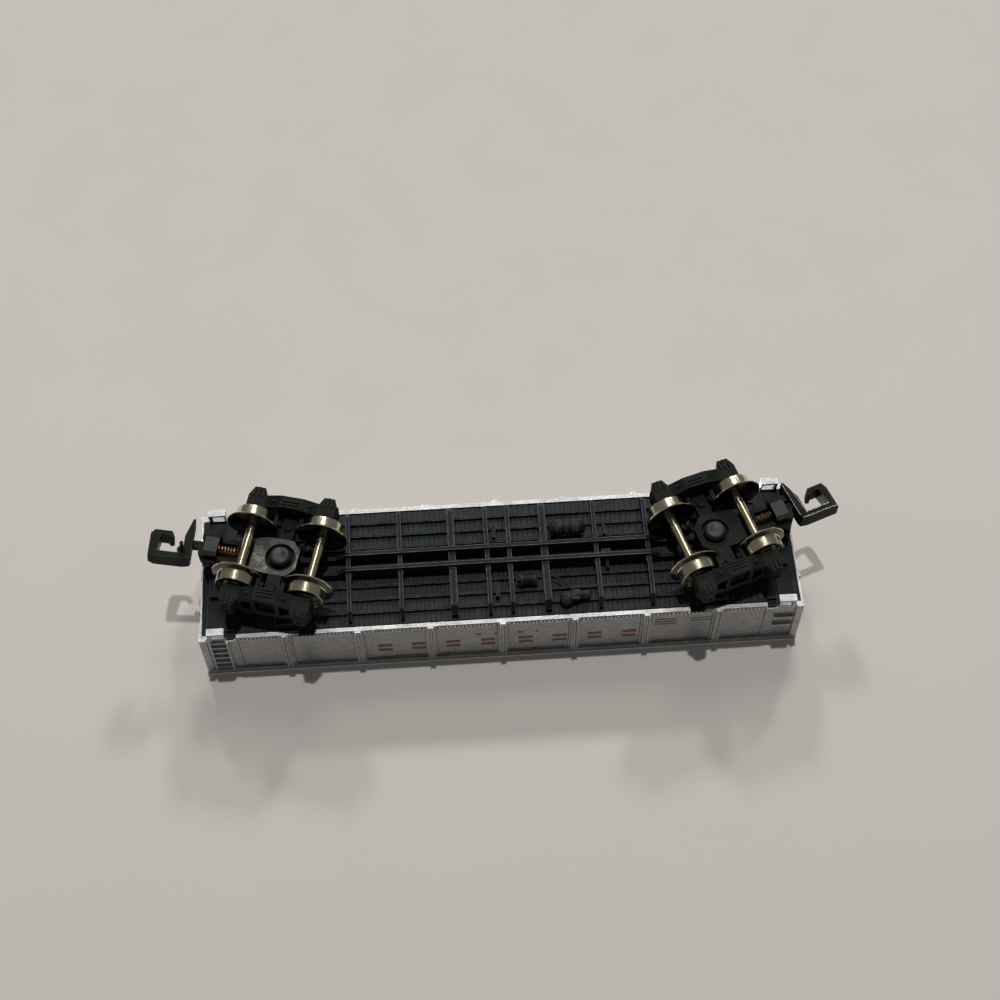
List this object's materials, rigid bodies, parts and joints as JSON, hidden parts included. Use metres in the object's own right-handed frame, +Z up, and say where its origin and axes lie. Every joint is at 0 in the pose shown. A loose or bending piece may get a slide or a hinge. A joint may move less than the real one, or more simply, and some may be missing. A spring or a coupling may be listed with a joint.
{
  "type": "model railway gondola car",
  "caption": "Open-top model railway freight car for 9 mm track, with two swivelling trucks, flanged metal wheelsets and sprung hook couplers.",
  "frame": {"origin": "centre of the car, on the surface that its wheel flanges stand on; the rail top is 0.9 mm above it", "axes": "+X along the car towards truck a, +Y across it, +Z up, with the wheels down"},
  "size_m": [0.0961, 0.0212, 0.0191],
  "materials": {
    "silver_paint": "satin silver paint on moulded plastic",
    "black_plastic": "matt black moulded plastic",
    "truck_plastic": "worn, slightly grained black plastic",
    "coupler_plastic": "smooth black plastic",
    "grey_plastic": "matt dark grey plastic",
    "wheel_metal": "turned brass with thin nickel plating, polished treads",
    "axle_metal": "turned and polished",
    "ballast_steel": "plain sheet steel",
    "spring_wire": "copper-coloured drawn wire",
    "insulator_plastic": "dark insulating plastic"
  },
  "bodies": {
    "car_body": {"body_shell": "silver_paint", "ballast_weight": "ballast_steel", "underframe": "black_plastic", "air_reservoir": "black_plastic", "brake_cylinder": "black_plastic", "control_valve": "black_plastic", "brake_pipe": "black_plastic", "truck_pin_a": "grey_plastic", "truck_pin_b": "grey_plastic"},
    "truck_a": {"truck_frame_a": "truck_plastic", "coupler_cover_a": "grey_plastic", "coupler_spring_a": "spring_wire"},
    "coupler_a": {"coupler_a": "coupler_plastic"},
    "wheelset_a_outer": {"axle_a_outer": "axle_metal", "wheel_a_outer_plain": "wheel_metal", "wheel_a_outer_insulated": "wheel_metal", "wheel_bush_a_outer": "insulator_plastic"},
    "wheelset_a_inner": {"axle_a_inner": "axle_metal", "wheel_a_inner_plain": "wheel_metal", "wheel_a_inner_insulated": "wheel_metal", "wheel_bush_a_inner": "insulator_plastic"},
    "truck_b": {"truck_frame_b": "truck_plastic", "coupler_cover_b": "grey_plastic", "coupler_spring_b": "spring_wire"},
    "coupler_b": {"coupler_b": "coupler_plastic"},
    "wheelset_b_outer": {"axle_b_outer": "axle_metal", "wheel_b_outer_plain": "wheel_metal", "wheel_b_outer_insulated": "wheel_metal", "wheel_bush_b_outer": "insulator_plastic"},
    "wheelset_b_inner": {"axle_b_inner": "axle_metal", "wheel_b_inner_plain": "wheel_metal", "wheel_b_inner_insulated": "wheel_metal", "wheel_bush_b_inner": "insulator_plastic"}
  },
  "joints": [
    {"name": "truck_a_swivel", "type": "hinge", "parent": "car_body", "child": "truck_a", "pos_m": [0.03005, 0, 0.0059], "axis": [0, 0, 1], "range_deg": [-39.7, 10.3]},
    {"name": "wheelset_a_outer_spin", "type": "hinge", "parent": "truck_a", "child": "wheelset_a_outer", "pos_m": [0.03484, 0.00126, 0.0036], "axis": [-0.2538, 0.9673, 0], "continuous": true},
    {"name": "wheelset_a_inner_spin", "type": "hinge", "parent": "truck_a", "child": "wheelset_a_inner", "pos_m": [0.02526, -0.00126, 0.0036], "axis": [-0.2538, 0.9673, 0], "continuous": true},
    {"name": "coupler_a_lift", "type": "hinge", "parent": "truck_a", "child": "coupler_a", "pos_m": [0.04079, 0.00282, 0.0046], "axis": [0.1167, -0.9932, 0], "range_deg": [-3, 22], "stiffness_Nm_per_rad": 0.001, "deforming": ["coupler_spring_a"]},
    {"name": "truck_b_swivel", "type": "hinge", "parent": "car_body", "child": "truck_b", "pos_m": [-0.03005, 0, 0.0059], "axis": [0, 0, 1], "range_deg": [-7.9, 42.1]},
    {"name": "wheelset_b_outer_spin", "type": "hinge", "parent": "truck_b", "child": "wheelset_b_outer", "pos_m": [-0.03478, 0.00146, 0.0036], "axis": [-0.294, -0.9558, 0], "continuous": true},
    {"name": "wheelset_b_inner_spin", "type": "hinge", "parent": "truck_b", "child": "wheelset_b_inner", "pos_m": [-0.02532, -0.00146, 0.0036], "axis": [-0.294, -0.9558, 0], "continuous": true},
    {"name": "coupler_b_lift", "type": "hinge", "parent": "truck_b", "child": "coupler_b", "pos_m": [-0.03999, 0.00306, 0.0046], "axis": [0.3518, 0.9361, 0], "range_deg": [-12, 13], "stiffness_Nm_per_rad": 0.001, "deforming": ["coupler_spring_b"]}
  ]
}
